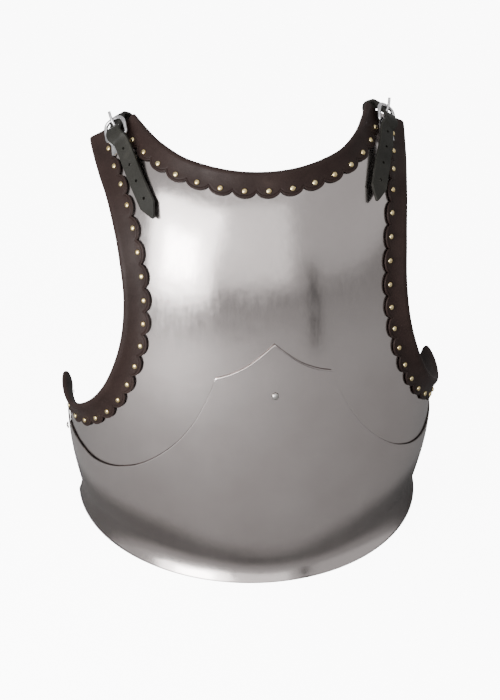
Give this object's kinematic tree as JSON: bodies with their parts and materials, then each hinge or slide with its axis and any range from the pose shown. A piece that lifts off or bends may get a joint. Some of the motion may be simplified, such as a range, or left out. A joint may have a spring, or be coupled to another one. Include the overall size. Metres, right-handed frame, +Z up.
{
  "type": "steel cuirass breastplate",
  "caption": "Steel cuirass breastplate with a pointed lower plackart, leather edge trims and two shoulder straps with buckles.",
  "frame": {"origin": "middle of the plackart's flat rim plane, under the centre of the overall box", "axes": "+Z up from the rim to the shoulders, -Y towards the front of the chest, +X towards the wearer's left side"},
  "size_m": [0.416, 0.2166, 0.4671],
  "materials": {
    "steel": "polished, faintly wavy",
    "rivet_steel": "satin",
    "trim_leather": "waxed, satin",
    "nickel": "worn polish",
    "strap_leather": "waxed, satin",
    "brass": "aged polish"
  },
  "bodies": {
    "root": {"breastplate": "steel", "plackart": "steel", "neck_trim": "trim_leather", "arm_trim_right": "trim_leather", "arm_trim_left": "trim_leather", "plackart_rivet_centre": "rivet_steel", "plackart_rivet_right": "rivet_steel", "plackart_rivet_left": "rivet_steel", "buckle_frame_right": "nickel", "buckle_frame_left": "nickel", "buckle_prong_right": "nickel", "buckle_prong_left": "nickel", "buckle_plate_right": "nickel", "buckle_plate_left": "nickel", "strap_right": "strap_leather", "strap_left": "strap_leather"}
  },
  "joints": []
}
